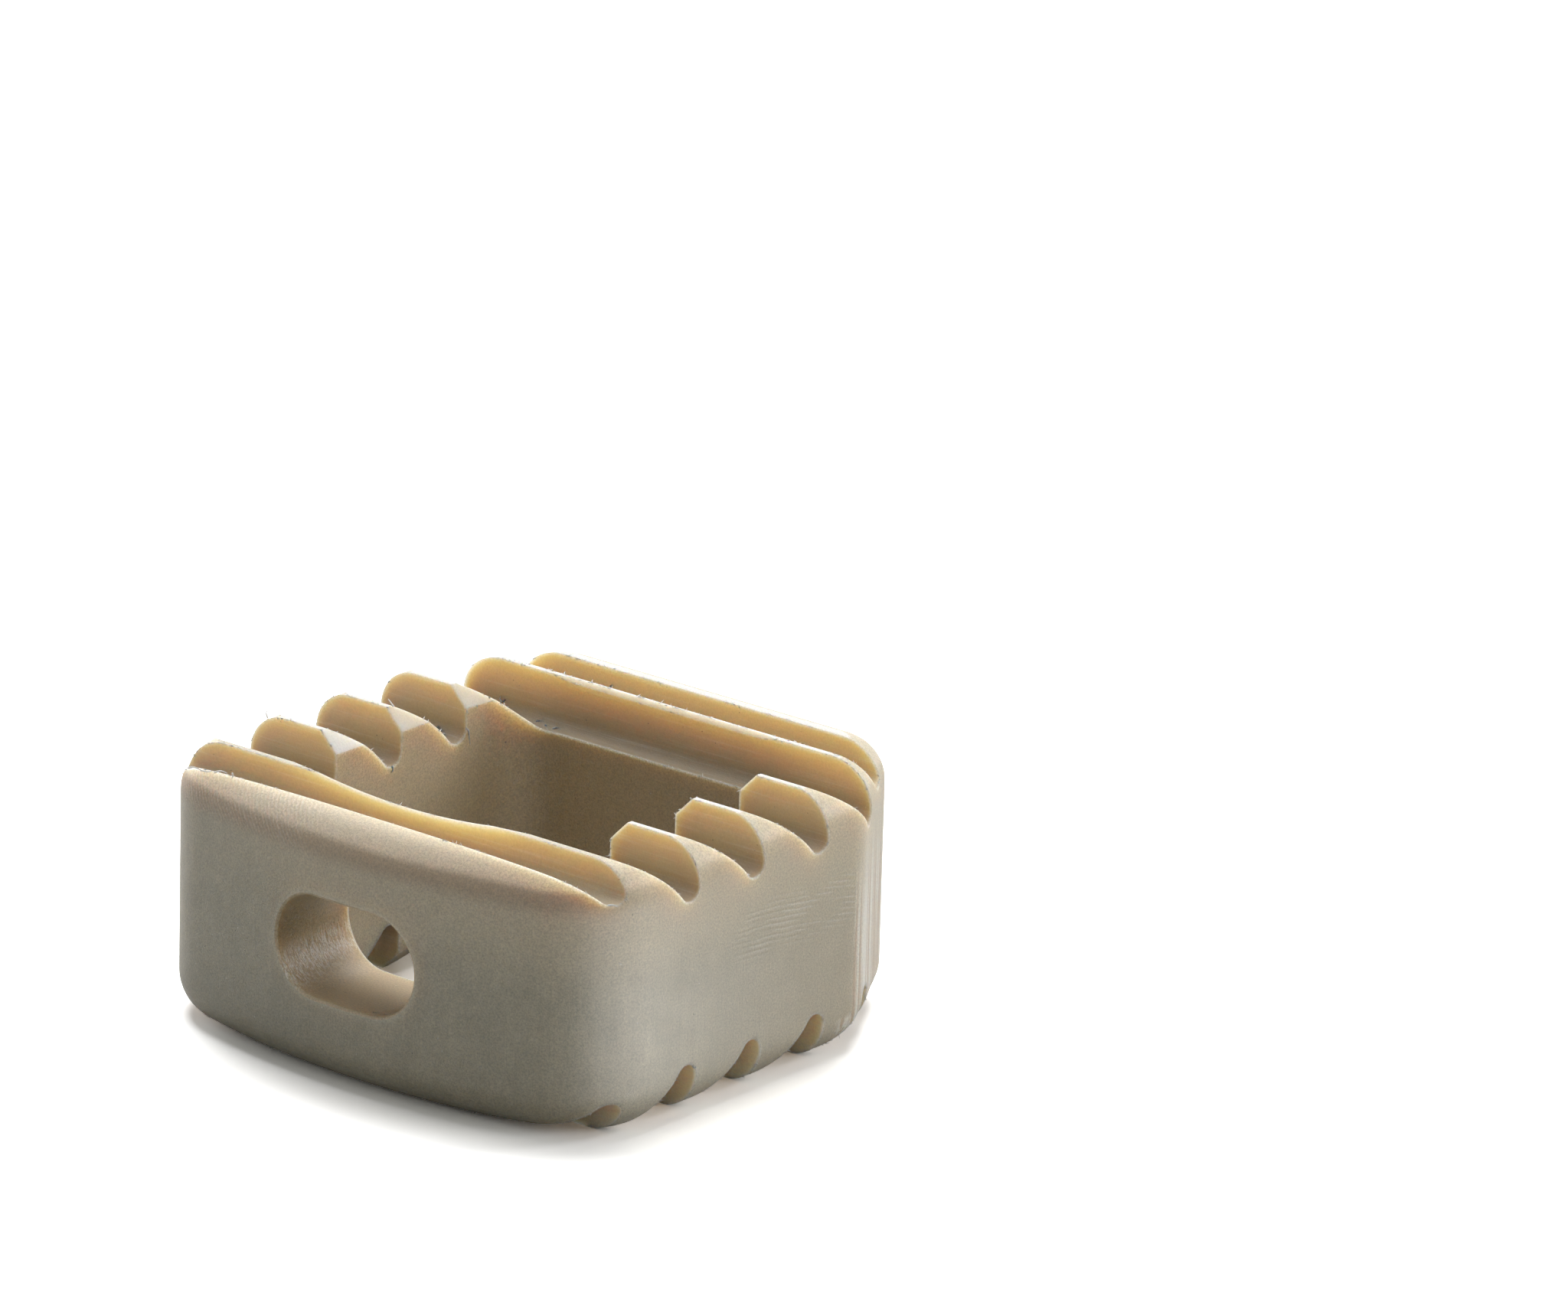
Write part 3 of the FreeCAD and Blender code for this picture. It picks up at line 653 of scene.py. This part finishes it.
# Pale edges: partly the burrs, partly painted highlight where the rounded edges catch the light.
rounded = peek.node("ShaderNodeBevel", {"samples": edge_samples}, {"Radius": edge_radius * MM})
edge_turn = Reading(peek, peek.node("ShaderNodeVectorMath", {"operation": "DOT_PRODUCT"}, {
    0: rounded.outputs[0], 1: straight}).outputs["Value"])
on_edge = 1 - edge_turn.rise(0.82, 0.998)
near_slot = from_slot.rise(0.3, 0.1) * on_front
colour = blend(colour, highlight_and_mark_white, on_edge * (0.25 + grain * 0.6) * (1 - near_slot * 0.6))
# Fine curved scratches on the side walls.
from_bend = y + 2.0
wave_phase = (z + from_bend * from_bend * 0.022) * 46.0 + clouds * 6.0
waves = wave_phase.math("SINE", wave_phase)
on_side = (1 - on_window_wall) * abs(facing_x).rise(0.99, 0.999) * (1 - in_groove)
swept = on_side * y.rise(-1.6, 0.2) * z.rise(3.1, 3.7) * z.rise(4.8, 4.3)
swept = swept * mottle(stretched(1.0, 0.7, 3.0), 1.0).rise(0.4, 0.56)
colour = blend(colour, highlight_and_mark_white, waves.rise(0.1, 1.0) * swept * 0.33)
# Ripples of the ball-nosed cutter on the left part of the front lip.
ripple_phase = (x + z * 0.9) * 46.0 + clouds * 14.0
ripples = ripple_phase.math("SINE", ripple_phase)
on_lip = rim_band * x.rise(-0.5, -2.0) * y.rise(-5.0, -5.6)
colour = blend(colour, highlight_and_mark_white, ripples.rise(0.0, 1.0) * on_lip * grain * 0.35)
dust = mottle(place, 11.0, 1.0, 0.4)
colour = blend(colour, dust_dark, dust.rise(0.79, 0.84) * 0.7)
colour = blend(colour, dust_pale, (1 - dust.rise(0.18, 0.23)) * 0.5)
speckle = blend(speck_dark, speck_light, grain)
fine = peek.node("ShaderNodeMix", {"data_type": "RGBA", "blend_type": "MULTIPLY"}, {
    0: 1 - (in_groove + on_countersink) * 0.65, 6: colour, 7: speckle}).outputs[2]

relief = grain * 0.5 + feed_lines * 0.5 * (1 - in_groove) + cutter_lines * 0.8 * in_groove
relief = relief + waves * swept * 2.4 + bands * past_side * 0.8
relief = relief + ripples * on_lip * grain * 1.8
bump = peek.node("ShaderNodeBump", None, {
    "Strength": relief_strength, "Distance": relief_height * MM, "Height": relief,
    "Normal": rounded.outputs[0]})
satin = 0.37 + grain * 0.16 - in_sheen * in_slot * 0.12
shader = peek.node("ShaderNodeBsdfPrincipled", {"subsurface_method": "RANDOM_WALK"}, {
    "Base Color": fine, "Roughness": satin, "Subsurface Weight": 1.0,
    "Subsurface Radius": (1.0, 0.68, 0.4), "Subsurface Scale": 1.0 * MM, "IOR": 1.5,
    "Normal": bump.outputs[0]})
peek.node("ShaderNodeOutputMaterial", None, {"Surface": shader.outputs[0]})
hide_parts("cage_body")
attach(cage, "root")

# The white table, lit from above and behind, and the camera where the photograph was taken.
floor_mesh = bpy.data.meshes.new("table")
reach = 1.5
floor_corners = [(-reach, -reach, 0), (reach, -reach, 0), (reach, reach, 0), (-reach, reach, 0)]
floor_mesh.from_pydata(floor_corners, [], [(0, 1, 2, 3)])
floor = bpy.data.objects.new("table", floor_mesh)
bpy.context.collection.objects.link(floor)
white = bpy.data.materials.new("white table")
white.use_nodes = True
white.node_tree.nodes.clear()
table_top = Graph(white.node_tree)
seen = table_top.node("ShaderNodeBsdfDiffuse", None, {"Color": (1.9, 1.9, 1.9, 1)})
lit = table_top.node("ShaderNodeBsdfDiffuse", None, {"Color": (0.36, 0.36, 0.36, 1)})
# A painted pool of light on the table right of the cage, seen only in reflections, which the satin
# corner mirrors.
pool_middle, pool_inner, pool_outer = (0.016, -0.003, 0), 0.004, 0.011
from_pool = Reading(table_top, table_top.node("ShaderNodeVectorMath", {"operation": "DISTANCE"}, {
    0: table_top.node("ShaderNodeTexCoord").outputs["Object"], 1: pool_middle}).outputs["Value"])
mirrored_white = table_top.node("ShaderNodeMix", {"data_type": "RGBA"}, {
    0: from_pool.rise(pool_outer, pool_inner), 6: (0.9, 0.9, 0.9, 1), 7: (6.8, 6.7, 6.5, 1)})
mirrored = table_top.node("ShaderNodeBsdfDiffuse", None, {"Color": mirrored_white.outputs[2]})
path = table_top.node("ShaderNodeLightPath")
unseen = table_top.node("ShaderNodeMixShader", None, {
    0: path.outputs["Is Glossy Ray"], 1: lit.outputs[0], 2: mirrored.outputs[0]})
table_shader = table_top.node("ShaderNodeMixShader", None, {
    0: path.outputs["Is Camera Ray"], 1: unseen.outputs[0], 2: seen.outputs[0]})
table_top.node("ShaderNodeOutputMaterial", None, {"Surface": table_shader.outputs[0]})
floor.data.materials.append(white)


lamp_aim = (0, 0, 0.003)


def soft_box(name, place, width, height, power):
    """A flat studio lamp turned to face the cage."""
    lamp = bpy.data.lights.new(name, "AREA")
    lamp.shape = "RECTANGLE"
    lamp.size, lamp.size_y = width, height
    lamp.energy = power
    holder = bpy.data.objects.new(name, lamp)
    bpy.context.collection.objects.link(holder)
    holder.location = place
    holder.rotation_euler = (Vector(lamp_aim) - Vector(place)).to_track_quat("-Z", "Y").to_euler()


soft_box("overhead", (-0.13, 0.13, 0.46), 0.34, 0.26, 2.5)
soft_box("right side", (0.44, 0.20, 0.17), 0.20, 0.26, 0.56)
soft_box("behind right", (0.235, 0.365, 0.245), 0.12, 0.12, 0.36)
soft_box("left rim", (-0.45, 0.20, 0.12), 0.16, 0.20, 0.75)

world = bpy.data.worlds.new("studio")
bpy.context.scene.world = world
world.use_nodes = True
world.node_tree.nodes.clear()
studio = Graph(world.node_tree)
ray = studio.node("ShaderNodeLightPath")
fill = studio.node("ShaderNodeBackground", None, {
    "Color": (0.97, 0.98, 0.97, 1), "Strength": 0.215})
backdrop = studio.node("ShaderNodeBackground", None, {"Color": (1, 1, 1, 1), "Strength": 1.0})
reflected = studio.node("ShaderNodeBackground", None, {"Color": (1, 1, 1, 1), "Strength": 0.9})
unlit = studio.node("ShaderNodeMixShader", None, {
    0: studio.node("ShaderNodeMath", {"operation": "MAXIMUM"}, {
        0: ray.outputs["Is Glossy Ray"], 1: ray.outputs["Is Transmission Ray"]}).outputs[0],
    1: fill.outputs[0], 2: reflected.outputs[0]})
surroundings = studio.node("ShaderNodeMixShader", None, {
    0: ray.outputs["Is Camera Ray"], 1: unlit.outputs[0], 2: backdrop.outputs[0]})
studio.node("ShaderNodeOutputWorld", None, {"Surface": surroundings.outputs[0]})

# The camera as fitted to the photograph: angles in radians, lengths in millimetres.
view_turn, view_rise, view_roll = 0.685648, 0.322117, 0.026952
focal_pixels, image_width, sensor_width, stand_off = 13966.98, 2048, 36, 250.9865
shift_right, shift_up, depth_datum = 7.92955, 9.22619, 3.21525
back = Vector((math.sin(view_turn) * math.cos(view_rise),
               -math.cos(view_turn) * math.cos(view_rise), math.sin(view_rise)))
level_right = Vector((math.cos(view_turn), math.sin(view_turn), 0))
level_up = back.cross(level_right)
right = level_right * math.cos(view_roll) + level_up * math.sin(view_roll)
upward = level_up * math.cos(view_roll) - level_right * math.sin(view_roll)
datum = Vector((0, -depth_datum, 0))
eye = (back * stand_off + right * shift_right + upward * shift_up + datum) * MM
camera = bpy.data.objects.new("camera", bpy.data.cameras.new("camera"))
bpy.context.collection.objects.link(camera)
camera.data.sensor_width = sensor_width
camera.data.lens = focal_pixels / image_width * sensor_width
camera.data.clip_start = 0.01
camera.data.clip_end = 10
turned = Matrix((right, upward, back)).transposed().to_4x4()
camera.matrix_world = Matrix.Translation(eye) @ turned
bpy.context.scene.camera = camera
bpy.context.scene.view_settings.view_transform = "Standard"
